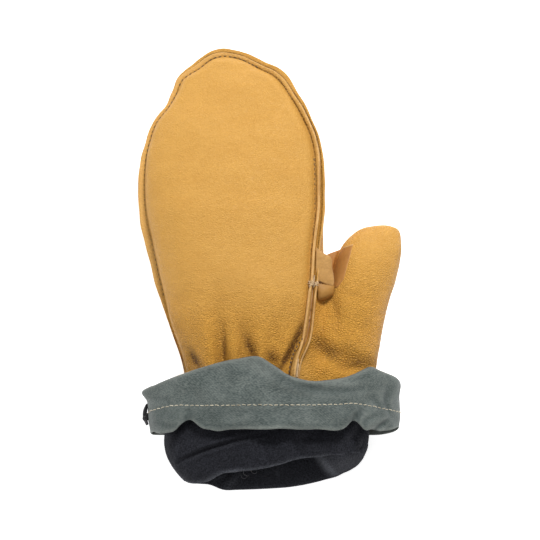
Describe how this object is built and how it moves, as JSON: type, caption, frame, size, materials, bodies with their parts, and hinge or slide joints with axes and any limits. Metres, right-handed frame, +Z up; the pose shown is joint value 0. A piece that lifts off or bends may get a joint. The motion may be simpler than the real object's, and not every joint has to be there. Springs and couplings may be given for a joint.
{
  "type": "leather mitten",
  "caption": "Left-hand leather work mitten with an outward seam, a separate thumb, a turned canvas cuff and a wool liner open at the wrist.",
  "frame": {"origin": "centre of the bounding box in X and Y, on the floor that the mitten lies on", "axes": "+Y from the wrist to the fingertips, +X to the thumb's side, +Z up out of the back of the hand"},
  "size_m": [0.1734, 0.2934, 0.047],
  "materials": {
    "leather": "matte yellow deerskin",
    "suede": "napped flesh side",
    "canvas": "grey-green waxed canvas",
    "wool": "dark navy napped wool",
    "elastic": "black braided elastic"
  },
  "bodies": {
    "root": {"back_panel": "leather", "palm_panel": "leather", "thumb": "leather", "crotch_tab": "suede", "cuff": "canvas", "liner_bag": "wool", "liner_mouth": "wool", "cuff_cord": "elastic"}
  },
  "joints": []
}
